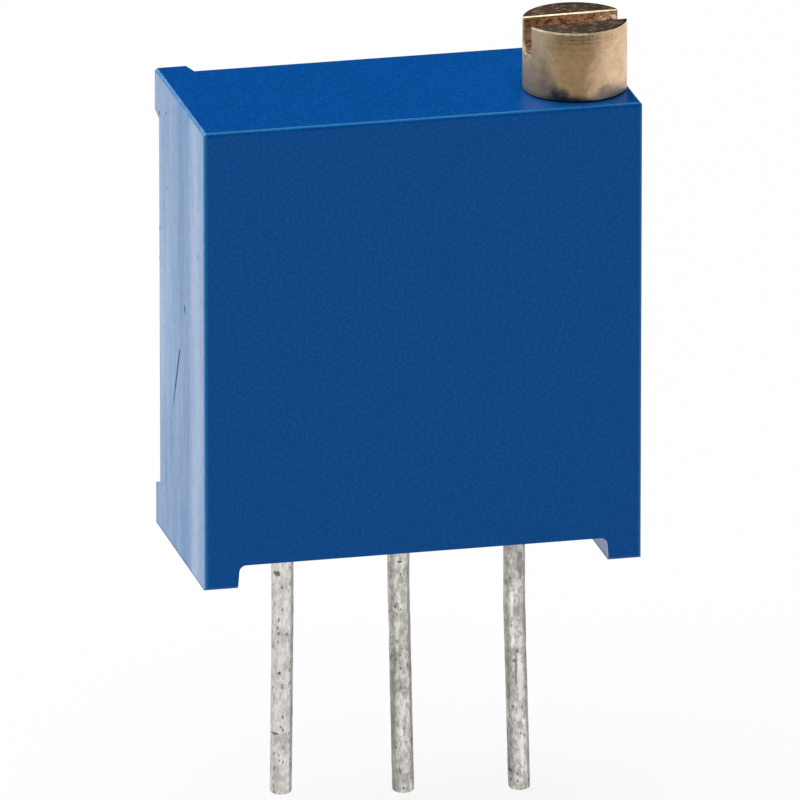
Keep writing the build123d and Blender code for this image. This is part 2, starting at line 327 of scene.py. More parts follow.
class Effect(Enum):
    """Surface effects that several finishes share, each one node group."""

    GRAIN = "fine_grain"
    STREAKS = "drawn_streaks"
    SPECKS = "scattered_specks"
    LINES = "turning_lines"
    BLOT = "single_blot"


@dataclass(frozen=True)
class Mark:
    """One mark on a surface, seen along Y: its middle and half its size, in millimetres."""

    x: float
    z: float
    half_width: float
    half_height: float

    def raised(self, level: float) -> "Mark":
        """The same mark, with its height counted from a level."""
        return replace(self, z=self.z + level)


class EffectLibrary:
    """Builds each shared effect once and places it in materials."""

    def __init__(self) -> None:
        """Builds the groups of all effects."""
        builders = {Effect.GRAIN: self._grain, Effect.STREAKS: self._streaks, Effect.SPECKS: self._specks,
                    Effect.LINES: self._lines, Effect.BLOT: self._blot}
        self.groups = {effect: build(effect.value) for effect, build in builders.items()}

    @staticmethod
    def _start(name: str, values: dict[str, float]) -> tuple[Graph, bpy.types.Node]:
        """Starts a group with a place, some values and one mask.

        Args:
            name: Name of the group.
            values: Value inputs and their defaults.

        Returns:
            The group's graph and its input node.
        """
        tree = bpy.data.node_groups.new(name, "ShaderNodeTree")
        tree.interface.new_socket("Place", in_out="INPUT", socket_type="NodeSocketVector")
        for key, value in values.items():
            made = tree.interface.new_socket(key, in_out="INPUT", socket_type="NodeSocketFloat")
            made.default_value = value
        tree.interface.new_socket("Mask", in_out="OUTPUT", socket_type="NodeSocketFloat")
        return Graph(tree), tree.nodes.new("NodeGroupInput")

    @staticmethod
    def _end(graph: Graph, mask: Socket) -> bpy.types.NodeTree:
        """Joins the mask to the group's output and returns the tree."""
        out = graph.tree.nodes.new("NodeGroupOutput")
        graph.tree.links.new(mask, out.inputs["Mask"])
        return graph.tree

    @staticmethod
    def _spread(graph: Graph, noise: Socket, contrast: Socket) -> Socket:
        """Spreads a noise about its middle by a contrast, between 0 and 1."""
        level = graph.times(graph.minus(noise, 0.5), contrast)
        return graph.math("ADD", level, 0.5, clamp=True)

    @staticmethod
    def _drawn_out(graph: Graph, given: bpy.types.Node) -> Socket:
        """The place with its height divided by the group's Length."""
        parts = graph.add("SeparateXYZ", {0: given.outputs["Place"]})
        height = graph.math("DIVIDE", parts.outputs[2], given.outputs["Length"])
        return graph.add("CombineXYZ", {0: parts.outputs[0], 1: parts.outputs[1], 2: height}).outputs[0]

    def _grain(self, name: str) -> bpy.types.NodeTree:
        """Even noise, with Fineness in lumps per millimetre and Contrast about its middle."""
        graph, given = self._start(name, {"Fineness": 10.0, "Contrast": 1.0})
        noise = graph.add("TexNoise", {"Vector": given.outputs["Place"], "Scale": given.outputs["Fineness"],
                                       "Detail": 4.0, "Roughness": 0.6}).outputs[0]
        return self._end(graph, self._spread(graph, noise, given.outputs["Contrast"]))

    def _streaks(self, name: str) -> bpy.types.NodeTree:
        """Noise drawn out along Z by Length, with Fineness across in streaks per millimetre."""
        graph, given = self._start(name, {"Fineness": 6.0, "Length": 12.0, "Contrast": 2.0})
        drawn = self._drawn_out(graph, given)
        noise = graph.add("TexNoise", {"Vector": drawn, "Scale": given.outputs["Fineness"],
                                       "Detail": 5.0, "Roughness": 0.65}).outputs[0]
        return self._end(graph, self._spread(graph, noise, given.outputs["Contrast"]))

    def _specks(self, name: str) -> bpy.types.NodeTree:
        """Spots round the points of a cell pattern with Fineness cells per millimetre.

        The pattern is drawn out along Z by Length. A spot shows where the cell's own number is under Share,
        and its edge is made uneven by noise.
        """
        graph, given = self._start(name, {"Fineness": 5.0, "Length": 1.0, "Size": 0.3, "Share": 0.3})
        drawn = self._drawn_out(graph, given)
        warp = graph.add("TexNoise", {"Vector": drawn, "Scale": 18.0, "Detail": 2.0}).outputs["Color"]
        moved = graph.add("VectorMath", {0: warp, 1: (0.05, 0.05, 0.05)}, operation="MULTIPLY").outputs[0]
        place = graph.add("VectorMath", {0: drawn, 1: moved}, operation="ADD").outputs[0]
        cells = graph.add("TexVoronoi", {"Vector": place, "Scale": given.outputs["Fineness"]})
        near = graph.minus(given.outputs["Size"], cells.outputs["Distance"])
        soft = graph.math("DIVIDE", near, graph.math("MULTIPLY", given.outputs["Size"], 0.6), clamp=True)
        number = graph.add("SeparateColor", {0: cells.outputs["Color"]}).outputs[0]
        chosen = graph.math("LESS_THAN", number, given.outputs["Share"])
        return self._end(graph, graph.times(soft, chosen))

    def _lines(self, name: str) -> bpy.types.NodeTree:
        """Uneven rings round the Z axis: noise along the height, with Fineness in rings per millimetre."""
        graph, given = self._start(name, {"Fineness": 20.0, "Contrast": 2.0})
        height = graph.add("SeparateXYZ", {0: given.outputs["Place"]}).outputs[2]
        noise = graph.add("TexNoise", {"W": height, "Scale": given.outputs["Fineness"], "Detail": 3.0},
                          noise_dimensions="1D").outputs[0]
        return self._end(graph, self._spread(graph, noise, given.outputs["Contrast"]))

    def _blot(self, name: str) -> bpy.types.NodeTree:
        """One uneven blot, seen along Y: full in the middle, and gone once (x/a)^2 + (z/b)^2 passes 1."""
        graph, given = self._start(name, {"X": 0.0, "Z": 0.0, "Half Width": 0.1, "Half Height": 0.1})
        parts = graph.add("SeparateXYZ", {0: given.outputs["Place"]})
        across = graph.math("DIVIDE", graph.minus(parts.outputs[0], given.outputs["X"]),
                            given.outputs["Half Width"])
        upward = graph.math("DIVIDE", graph.minus(parts.outputs[2], given.outputs["Z"]),
                            given.outputs["Half Height"])
        squares = graph.plus(graph.times(across, across), graph.times(upward, upward))
        noise = graph.add("TexNoise", {"Vector": given.outputs["Place"], "Scale": 14.0,
                                       "Detail": 2.0}).outputs[0]
        reach = graph.plus(graph.math("SQRT", squares), graph.minus(noise, 0.5))
        return self._end(graph, graph.span(reach, 0.45, 1.0, 1.0, 0.0))

    def place(self, graph: Graph, effect: Effect, place: Socket, **values: float) -> Socket:
        """Puts an effect into a material.

        Args:
            graph: The material's graph.
            effect: Which effect.
            place: Position in millimetres.
            **values: The effect's own values, by lower-case input name with underscores.

        Returns:
            The mask's socket.
        """
        node = graph.add("Group")
        node.node_tree = self.groups[effect]
        graph.tree.links.new(place, node.inputs["Place"])
        for key, value in values.items():
            node.inputs[key.replace("_", " ").title()].default_value = value
        return node.outputs["Mask"]


class Bench:
    """A material under construction: its graph, its position in millimetres and its Principled shader."""

    def __init__(self, name: str, effects: EffectLibrary, centre: tuple[float, float] = (0.0, 0.0),
                 turn: float = 0.0) -> None:
        """Starts a material whose pattern is centred and turned about an upright axis.

        Args:
            name: Name of the material.
            effects: The shared effects.
            centre: X and Y, in millimetres, where the pattern's position is zero.
            turn: Turn of the pattern about Z, in degrees.
        """
        self.effects = effects
        self.material = bpy.data.materials.new(name)
        self.material.use_nodes = True
        tree = self.material.node_tree
        tree.nodes.clear()
        self.graph = Graph(tree)
        self.coordinates = self.graph.add("TexCoord")
        angle = math.radians(turn)
        x, y = centre
        shift = (y * math.sin(angle) - x * math.cos(angle), -x * math.sin(angle) - y * math.cos(angle), 0.0)
        mapping = self.graph.add("Mapping", {"Vector": self.coordinates.outputs["Object"], "Location": shift,
                                             "Rotation": (0.0, 0.0, angle),
                                             "Scale": (PER_METRE, PER_METRE, PER_METRE)})
        self.place = mapping.outputs[0]
        self.shader = self.graph.add("BsdfPrincipled")
        out = self.graph.add("OutputMaterial")
        tree.links.new(self.shader.outputs[0], out.inputs["Surface"])

    def effect(self, effect: Effect, **values: float) -> Socket:
        """Puts a shared effect with its own values into the material, and gives its mask."""
        return self.effects.place(self.graph, effect, self.place, **values)

    def marks(self, marks: tuple[Mark, ...], place: Socket | None = None) -> Socket:
        """Puts several blots into the material.

        Args:
            marks: The blots.
            place: Position in millimetres, if it isn't the material's own.

        Returns:
            A mask that shows all of them.
        """
        place = self.place if place is None else place
        masks = [self.effects.place(self.graph, Effect.BLOT, place, **asdict(mark)) for mark in marks]
        return self.graph.most(*masks)

    def facing(self, axis: int) -> Socket:
        """The part of the surface's own normal along an axis of the piece."""
        parts = self.graph.add("SeparateXYZ", {0: self.coordinates.outputs["Normal"]})
        return parts.outputs[axis]

    def along(self, axis: int) -> Socket:
        """The position along an axis, in millimetres."""
        return self.graph.add("SeparateXYZ", {0: self.place}).outputs[axis]

    def finish(self, inputs: dict[str, object]) -> bpy.types.Material:
        """Sets the shader's inputs.

        Args:
            inputs: Values or sockets by input name.

        Returns:
            The material.
        """
        for key, value in inputs.items():
            if isinstance(value, Socket):
                self.graph.tree.links.new(value, self.shader.inputs[key])
            elif isinstance(value, tuple):
                self.shader.inputs[key].default_value = (*value, 1.0)
            else:
                self.shader.inputs[key].default_value = value
        return self.material


@dataclass(frozen=True)
class CasePlastic:
    """Satin blue moulding with fine grain, painted highlights on its edge rounds, and pale sides that are
    part real hazing and rubbing, part painted sheen, with streaks, flecks and a scratch.
    """

    colour: Colour = (0.0012, 0.0825, 0.355)
    cloud: Colour = (0.0016, 0.0780, 0.335)
    pale_grain: Colour = (0.006, 0.130, 0.46)
    haze: Colour = (0.06, 0.62, 0.95)
    rubbed: Colour = (0.66, 0.79, 0.97)
    fleck: Colour = (0.004, 0.075, 0.26)
    # The next two colours are painted highlights for the edge rounds.
    lip: Colour = (0.003, 0.18, 0.40)
    brow: Colour = (0.16, 0.37, 0.68)
    reflection_tint: Colour = (0.12, 0.30, 0.50)
    roughness: float = 0.20
    side_roughness: float = 0.18
    ior: float = 1.5
    grain_share: float = 0.50
    grain_depth: float = 0.0025
    front_y: float = -2.35
    haze_share: float = 0.145
    front_wear: float = 0.27
    rear_wear: float = 0.25
    streak_wear: float = 0.07
    mottle_wear: float = 0.09
    right_share: float = 0.2
    scratch_top: tuple[float, float] = (0.00, 4.66)
    scratch_bottom: tuple[float, float] = (0.55, 3.43)
    scratch_width: float = 0.08
    scratch_fade: float = 0.55
    chips: tuple[Mark, ...] = (
        Mark(-0.48, 5.71, 0.07, 0.11), Mark(1.23, 7.87, 0.06, 0.05), Mark(1.23, 9.53, 0.06, 0.04),
        Mark(1.92, 9.33, 0.07, 0.05), Mark(1.92, 6.77, 0.08, 0.06), Mark(1.95, 6.09, 0.08, 0.06),
        Mark(-1.77, 7.28, 0.05, 0.07))

    def material(self, effects: EffectLibrary) -> bpy.types.Material:
        """Builds the case's material.

        Args:
            effects: The shared effects.

        Returns:
            The material.
        """
        bench = Bench("case_blue", effects)
        graph = bench.graph
        clouds = bench.effect(Effect.GRAIN, fineness=0.5, contrast=2.0)
        grain = bench.effect(Effect.GRAIN, fineness=14.0, contrast=2.2)
        streaks = bench.effect(Effect.STREAKS, fineness=1.6, length=6.0, contrast=2.4)
        hair = bench.effect(Effect.STREAKS, fineness=7.0, length=8.0, contrast=2.6)
        mottle = bench.effect(Effect.GRAIN, fineness=4.0, contrast=2.4)
        side = graph.span(graph.math("ABSOLUTE", bench.facing(0)), 0.60, 0.95)
        mottled = graph.blend(clouds, self.colour, self.cloud)
        base = graph.blend(graph.span(grain, 0.3, 0.9, 0.0, self.grain_share), mottled, self.pale_grain)
        # Painted sheen: both sides, the left most, are painted pale, partly as real hazing and rubbing,
        # partly as the sheen that light gives them.
        haze_and_sheen_sides = graph.times(side, graph.span(bench.along(0), -1.0, 1.0, 1.0, self.right_share))
        with_haze_and_sheen = graph.blend(graph.times(haze_and_sheen_sides, self.haze_share), base, self.haze)
        wear_and_sheen = graph.times(haze_and_sheen_sides, self._wear(bench, streaks, hair, mottle))
        rubbed = graph.blend(wear_and_sheen, with_haze_and_sheen, self.rubbed)
        marks = graph.times(side, self._marks(bench))
        coloured = self._worn_edges(bench, grain, graph.blend(marks, rubbed, self.fleck))
        satin = graph.span(grain, 0.1, 0.9, self.roughness - 0.04, self.roughness + 0.05)
        worn = graph.span(streaks, 0.1, 0.9, self.side_roughness + 0.12, self.side_roughness)
        rough = graph.plus(graph.add("Mix", {0: side, 2: satin, 3: worn}).outputs[0],
                           graph.times(marks, 0.6))
        relief = graph.minus(graph.plus(grain, graph.times(side, hair)), marks)
        return bench.finish({"Base Color": coloured, "Roughness": rough, "IOR": self.ior,
                             "Specular Tint": self.reflection_tint,
                             "Normal": graph.bump(relief, self.grain_depth)})

    def _wear(self, bench: Bench, streaks: Socket, hair: Socket, mottle: Socket) -> Socket:
        """How far the sides are painted pale, part real rubbing and part painted sheen: behind the front
        edge, at the rear, in streaks and mottling.

        Args:
            bench: The material under construction.
            streaks: Mask of the broad streaks.
            hair: Mask of the fine streaks.
            mottle: Mask of the mottling.

        Returns:
            The share of the pale colour, part rubbing and part painted sheen.
        """
        graph = bench.graph
        y, z = bench.along(1), bench.along(2)
        band = graph.times(graph.span(y, self.front_y + 0.2, self.front_y + 0.8, 0.45, 1.0),
                           graph.span(y, self.front_y + 0.95, self.front_y + 1.6, self.front_wear, 0.0))
        high = graph.times(graph.span(z, 2.2, 4.2, 0.25, 1.0), graph.span(z, 5.0, 7.0, 1.0, 0.65))
        rear = graph.times(graph.span(y, 0.0, 1.5, 0.0, self.rear_wear), high)
        lines = graph.times(streaks, hair, self.streak_wear)
        uneven = graph.span(mottle, 0.0, 1.0, -self.mottle_wear / 2.0, self.mottle_wear / 2.0)
        return graph.plus(band, rear, lines, uneven)

    def _marks(self, bench: Bench) -> Socket:
        """Flecks and a darker band along the lower edge on both sides; on the left, a scratch and chips
        placed by (y, z).

        Args:
            bench: The material under construction.

        Returns:
            The marks' mask.
        """
        graph = bench.graph
        flecks = bench.effect(Effect.SPECKS, fineness=2.8, length=2.0, size=0.11, share=0.40)
        sideways = graph.add("CombineXYZ", {0: bench.along(1), 2: bench.along(2)}).outputs[0]
        chips = graph.most(bench.marks(self.chips, sideways), self._scratch(bench))
        left = graph.math("LESS_THAN", bench.along(0), 0.0)
        # Darker along the lowest 0.09 mm of the sides.
        darker_bottom = graph.span(bench.along(2), 0.0, 0.09, 0.35, 0.0)
        faint = graph.most(graph.times(flecks, 0.35), darker_bottom)
        return graph.most(faint, graph.times(chips, left, 0.9))

    def _scratch(self, bench: Bench) -> Socket:
        """A thin scratch along the line through two points (y, z), which fades out at its lower end.

        Args:
            bench: The material under construction.

        Returns:
            The scratch's mask.
        """
        graph = bench.graph
        y, z = bench.along(1), bench.along(2)
        (y_top, z_top), (y_low, z_low) = self.scratch_top, self.scratch_bottom
        slope = (y_top - y_low) / (z_top - z_low)
        line = graph.plus(graph.times(z, slope), y_low - slope * z_low)
        off = graph.math("ABSOLUTE", graph.minus(y, line))
        thin = graph.span(off, self.scratch_width / 3.0, self.scratch_width, 1.0, 0.0)
        above = graph.span(z, z_low - self.scratch_fade, z_low + self.scratch_fade)
        below = graph.span(z, z_top - 0.1, z_top + 0.05, 1.0, 0.0)
        return graph.times(thin, above, below)

    def _worn_edges(self, bench: Bench, grain: Socket, colour: Socket) -> Socket:
        """Paints highlights on the rounds of the front face and the breaks beside the top, told by their
        direction.

        Args:
            bench: The material under construction.
            grain: Mask of the grain.
            colour: The colour so far.

        Returns:
            The colour with its worn edges.
        """
        graph = bench.graph
        upward = bench.facing(2)
        forward = graph.times(bench.facing(1), -1.0)
        sideways = graph.math("ABSOLUTE", bench.facing(0))
        uneven = graph.span(grain, 0.2, 0.8, 0.55, 1.0)
        # Painted highlights on the front round, the top breaks and the side rounds of the front face.
        lip = graph.times(graph.span(upward, 0.55, 0.90), graph.span(forward, 0.12, 0.35))
        brow = graph.times(graph.span(upward, 0.50, 0.65), graph.span(sideways, 0.50, 0.65))
        jamb_highlight = graph.times(graph.span(sideways, 0.10, 0.45, 0.0, 0.5), graph.span(forward, 0.45, 0.75))
        lined = graph.blend(graph.most(graph.times(lip, uneven), jamb_highlight), colour, self.lip)
        return graph.blend(graph.times(brow, uneven), lined, self.brow)


@dataclass(frozen=True)
class TurnedBrass:
    """Tarnished brass: a wall painted with bands of reflection, faint rings, stained lands, a brown slot and
    bright worn edges.

    Bruises are placed from the head's foot, burrs from the slot's floor and chips from the top.
    """

    gold: Colour = (0.34, 0.225, 0.115)
    tan: Colour = (0.85, 0.59, 0.375)
    lilac: Colour = (0.50, 0.375, 0.225)
    pale: Colour = (0.95, 0.68, 0.40)
    stain: Colour = (0.050, 0.036, 0.026)
    land: Colour = (0.078, 0.047, 0.029)
    speckle: Colour = (0.29, 0.20, 0.13)
    slot: Colour = (0.76, 0.46, 0.24)
    bruise: Colour = (0.060, 0.065, 0.075)
    bright: Colour = (0.97, 0.80, 0.53)
    roughness: float = 0.36
    ring_depth: float = 0.002
    pattern_turn: float = 13.0
    film_metal: float = 0.15
    burr_height: float = 12.0
    edge_band: float = 0.055
    bruises: tuple[Mark, ...] = (Mark(-0.32, 0.13, 0.26, 0.17),)
    burrs: tuple[Mark, ...] = (Mark(-1.07, 0.02, 0.08, 0.11),)
    chips: tuple[Mark, ...] = (Mark(0.60, -0.17, 0.12, 0.07), Mark(0.84, -0.14, 0.10, 0.08))

    def material(self, effects: EffectLibrary, screw: "Screw") -> bpy.types.Material:
        """Builds the screw's material.

        Args:
            effects: The shared effects.
            screw: The screw, for its axis, radius and levels.

        Returns:
            The material.
        """
        bench = Bench("screw_brass", effects, screw.axis, self.pattern_turn)
        graph = bench.graph
        patches = bench.effect(Effect.GRAIN, fineness=2.4, contrast=2.4)
        speckle = bench.effect(Effect.GRAIN, fineness=9.0, contrast=3.0)
        rings = bench.effect(Effect.LINES, fineness=14.0, contrast=2.2)
        height, upward = bench.along(2), bench.facing(2)
        wobble = graph.times(graph.minus(patches, 0.5), 0.35)
        across = graph.plus(bench.along(0), wobble)
        wall, dull_wall = self._wall(bench, screw, across, speckle, rings)
        top = graph.span(height, screw.top_z - self.edge_band, screw.top_z - 0.6 * self.edge_band)
        within = graph.add("VectorMath", {0: bench.place, 1: (1.0, 1.0, 0.0)}, operation="MULTIPLY")
        radius = graph.add("VectorMath", {0: within.outputs[0]}, operation="LENGTH").outputs["Value"]
        inner = graph.span(radius, screw.head_radius - 0.06, screw.head_radius - 0.03, 1.0, 0.0)
        groove = graph.times(inner, graph.span(height, screw.floor_z - 0.05, screw.floor_z - 0.02))
        browned = graph.blend(graph.span(speckle, 0.4, 0.9, 0.0, 0.85), self.slot, self.stain)
        browned = graph.blend(graph.span(across, -1.0, -0.6, 0.6, 0.0), browned, self.stain)
        stained = graph.blend(graph.span(speckle, 0.50, 0.90, 0.0, 0.8), self.land, self.speckle)
        coloured = graph.blend(groove, wall, browned)
        coloured = graph.blend(graph.times(top, graph.span(upward, 0.85, 0.97)), coloured, stained)
        burr = bench.marks(tuple(mark.raised(screw.floor_z) for mark in self.burrs))
        chips = bench.marks(tuple(mark.raised(screw.top_z) for mark in self.chips))
        burrs = graph.most(burr, graph.times(chips, groove))
        rim = graph.times(top, graph.span(upward, 0.80, 0.93, 1.0, 0.0))
        worn = graph.most(burrs, graph.times(rim, graph.span(patches, 0.2, 0.7, 0.40, 1.0)))
        coloured = graph.blend(worn, coloured, self.bright)

        dulled = graph.most(dull_wall, graph.times(groove, 0.8))
        matt = graph.times(dulled, graph.minus(1.0, graph.most(rim, burrs)))
        metal = graph.span(matt, 0.0, 1.0, 1.0, self.film_metal)
        rough = graph.span(patches, 0.2, 0.8, self.roughness - 0.05, self.roughness + 0.08)
        relief = graph.plus(graph.times(rings, 0.5), speckle, graph.times(burrs, self.burr_height))
        return bench.finish({"Base Color": coloured, "Metallic": metal, "Roughness": rough,
                             "Normal": graph.bump(graph.minus(relief, self._pits(bench)), self.ring_depth)})

    @staticmethod
    def _pits(bench: Bench) -> Socket:
        """Mask of the fine pits."""
        return bench.effect(Effect.SPECKS, fineness=8.0, length=1.0, size=0.18, share=0.12)

    def _wall(self, bench: Bench, screw: "Screw", across: Socket, speckle: Socket,
              rings: Socket) -> tuple[Socket, Socket]:
        """The head's wall: painted reflection bands, lilac on the left, then gold, then tan, with stains, a
        bruise and painted pale light on its foot.

        Args:
            bench: The material under construction.
            screw: The screw, for its levels.
            across: Position from left to right, in millimetres.
            speckle: Mask of the speckle.
            rings: Mask of the turning rings.

        Returns:
            The wall's colour, and the mask where it is made dull: the lilac band and the painted-light foot.
        """
        graph, height = bench.graph, bench.along(2)
        # Painted reflection: lilac, gold and tan bands set by position across the wall; the lilac band is
        # also made dull.
        film = graph.span(across, -0.95, -0.20, 1.0, 0.0)
        wall = graph.blend(graph.span(across, 0.15, 0.80), self.gold, self.tan)
        wall = graph.blend(film, wall, self.lilac)
        wall = graph.blend(graph.span(speckle, 0.45, 0.95, 0.0, 0.15), wall, self.stain)
        wall = graph.blend(graph.span(rings, 0.1, 0.6, 0.06, 0.0), wall, self.stain)
        wall = graph.blend(graph.times(self._pits(bench), 0.5), wall, self.stain)
        bruises = bench.marks(tuple(mark.raised(screw.head_z) for mark in self.bruises))
        wall = graph.blend(graph.times(bruises, 0.65), wall, self.bruise)
        # Darker towards the bottom of the wall, over its lowest 0.14 mm.
        wall = graph.blend(graph.span(height, screw.head_z, screw.head_z + 0.14, 0.35, 0.0), wall, self.stain)
        # Painted light: the lower right of the wall is painted pale and made dull, where it would mirror the
        # dark blue top.
        foot = graph.times(graph.span(height, screw.head_z + 0.10, screw.head_z + 0.42, 1.0, 0.0),
                           graph.span(across, 0.25, 0.60))
        return graph.blend(foot, wall, self.pale), graph.most(film, foot)


@dataclass(frozen=True)
class DippedTin:
    """Tinned wire: warm grey with drawn streaks, dark speckle, dull blotches, spots, painted shade on its
    flanks and painted highlights in streaks.
    """

    bright: Colour = (0.82, 0.795, 0.75)
    dull: Colour = (0.47, 0.45, 0.415)
    fresh: Colour = (0.90, 0.88, 0.84)
    tarnish: Colour = (0.18, 0.170, 0.155)
    pit: Colour = (0.11, 0.10, 0.088)
    shine: Colour = (0.97, 0.96, 0.93)
    left_dull: float = 0.85
    right_dull: float = 0.68
    smear_share: float = 0.70
    speckle_share: float = 0.75
    roughness: float = 0.32
    depth: float = 0.005
    spots: tuple[Mark, ...] = (Mark(-2.69, -0.48, 0.08, 0.08), Mark(-2.74, -4.10, 0.09, 0.035),
                               Mark(-0.03, -0.40, 0.07, 0.03), Mark(-0.12, -1.42, 0.035, 0.05),
                               Mark(2.43, -5.35, 0.06, 0.06), Mark(-2.66, -2.72, 0.04, 0.05))
    smears: tuple[Mark, ...] = (Mark(2.62, -0.65, 0.12, 0.40), Mark(2.53, -3.05, 0.03, 0.65),
                                Mark(-0.13, -2.55, 0.05, 0.45))
    runs: tuple[Mark, ...] = (Mark(2.44, -1.54, 0.045, 0.42), Mark(2.46, -2.42, 0.045, 0.20),
                              Mark(2.62, -3.25, 0.09, 0.66), Mark(2.70, -4.24, 0.06, 0.09),
                              Mark(2.67, -4.95, 0.06, 0.60), Mark(-2.49, -2.10, 0.04, 0.20),
                              Mark(0.02, -4.30, 0.04, 0.22))

    def material(self, effects: EffectLibrary) -> bpy.types.Material:
        """Builds the pins' material.

        Args:
            effects: The shared effects.

        Returns:
            The material.
        """
        bench = Bench("pin_tin", effects)
        graph = bench.graph
        streaks = bench.effect(Effect.STREAKS, fineness=15.0, length=2.4, contrast=2.8)
        blotches = bench.effect(Effect.GRAIN, fineness=2.6, contrast=2.4)
        speckle = bench.effect(Effect.SPECKS, fineness=12.0, length=1.7, size=0.38, share=0.30)
        pits = bench.effect(Effect.SPECKS, fineness=4.5, length=1.3, size=0.16, share=0.30)
        front = graph.math("LESS_THAN", bench.along(1), 0.0)
        spots = graph.times(bench.marks(self.spots), front)
        # Painted highlights: bright glint streaks on the wires' fronts.
        runs = graph.times(bench.marks(self.runs), front)
        drawn = graph.blend(graph.span(streaks, 0.2, 0.8), self.bright, self.dull)
        # The left wire is paler.
        paler_left = graph.blend(graph.span(bench.along(0), -1.6, -1.0, 0.38, 0.0), drawn, self.fresh)
        mottled = graph.blend(graph.span(blotches, 0.50, 0.95, 0.0, 0.5), paler_left, self.dull)
        # Painted shade: flanks darkened by their direction, plus tarnished smears.
        shaded_and_aged = graph.blend(self._dull_flanks(bench), mottled, self.tarnish)
        marked = graph.blend(graph.times(speckle, self.speckle_share), shaded_and_aged, self.pit)
        dark = graph.most(graph.times(pits, 0.8), graph.times(spots, 0.9))
        coloured = graph.blend(graph.times(runs, 0.85), graph.blend(dark, marked, self.pit), self.shine)
        rough = graph.span(blotches, 0.2, 0.8, self.roughness - 0.08, self.roughness + 0.12)
        hollows = graph.plus(graph.times(speckle, 0.5), dark)
        return bench.finish({"Base Color": coloured, "Metallic": 1.0, "Roughness": rough,
                             "Normal": graph.bump(graph.minus(streaks, hollows), self.depth)})

    def _dull_flanks(self, bench: Bench) -> Socket:
        """How far the wires are darkened: painted shade on right flanks and on the left ones of two wires,
        and tarnished smears.

        The left flanks' painted shade grows towards the tips, in uneven streaks. Flanks are told by their
        direction.

        Args:
            bench: The material under construction.

        Returns:
            The share of the dark colour: painted shade on the flanks, tarnished in smears.
        """
        graph = bench.graph
        sideways = bench.facing(0)
        mist = bench.effect(Effect.STREAKS, fineness=5.0, length=2.5, contrast=2.6)
        two_right_wires = graph.span(bench.along(0), -1.6, -1.0, 0.45, 1.0)
        deeper = graph.span(bench.along(2), -5.2, -1.0, 1.0, 0.65)
        # Painted shade on the left flanks, more on the two right wires, and on the right flanks.
        left = graph.times(graph.span(sideways, -1.0, -0.35, self.left_dull, 0.0), two_right_wires)
        uneven = graph.times(deeper, graph.span(mist, 0.15, 0.75, 0.55, 1.0))
        right = graph.span(sideways, 0.45, 0.78, 0.0, self.right_dull)
        front = graph.math("LESS_THAN", bench.along(1), 0.0)
        smears = graph.times(bench.marks(self.smears), front)
        flanks = graph.most(graph.times(left, uneven), right)
        return graph.most(flanks, graph.times(smears, self.smear_share))


class Kind(Enum):
    """How an inner finish takes the light."""

    DULL = 0.0
    METAL = 1.0


@dataclass(frozen=True)
class PlainFinish:
    """A mottled two-tone finish with grain in its colour, roughness and relief."""

    name: str
    first: Colour
    second: Colour
    roughness: float
    kind: Kind = Kind.DULL
    fineness: float = 3.0
    depth: float = 0.004

    def material(self, effects: EffectLibrary) -> bpy.types.Material:
        """Builds the finish's material.

        Args:
            effects: The shared effects.

        Returns:
            The material.
        """
        bench = Bench(self.name, effects)
        graph = bench.graph
        clouds = bench.effect(Effect.GRAIN, fineness=self.fineness, contrast=2.0)
        grain = bench.effect(Effect.GRAIN, fineness=self.fineness * 6.0, contrast=1.6)
        specks = bench.effect(Effect.SPECKS, fineness=self.fineness * 1.5, size=0.15, share=0.2)
        share = graph.math("ADD", graph.times(clouds, 0.6), graph.times(grain, 0.4), clamp=True)
        mottled = graph.blend(share, self.first, self.second)
        darker = tuple(0.5 * c for c in self.second)
        coloured = graph.blend(graph.times(specks, 0.5), mottled, darker)
        rough = graph.span(grain, 0.1, 0.9, self.roughness - 0.06, self.roughness + 0.06)
        return bench.finish({"Base Color": coloured, "Roughness": rough, "Metallic": self.kind.value,
                             "Normal": graph.bump(grain, self.depth)})


# Sub-assemblies


@dataclass
class Case:
    """The blue moulding, whose form is the CAD node's."""

    finish: CasePlastic = field(default_factory=CasePlastic)

    def dress(self, effects: EffectLibrary) -> None:
        """Gives the moulding its finish."""
        dress_node("housing", self.finish.material(effects))


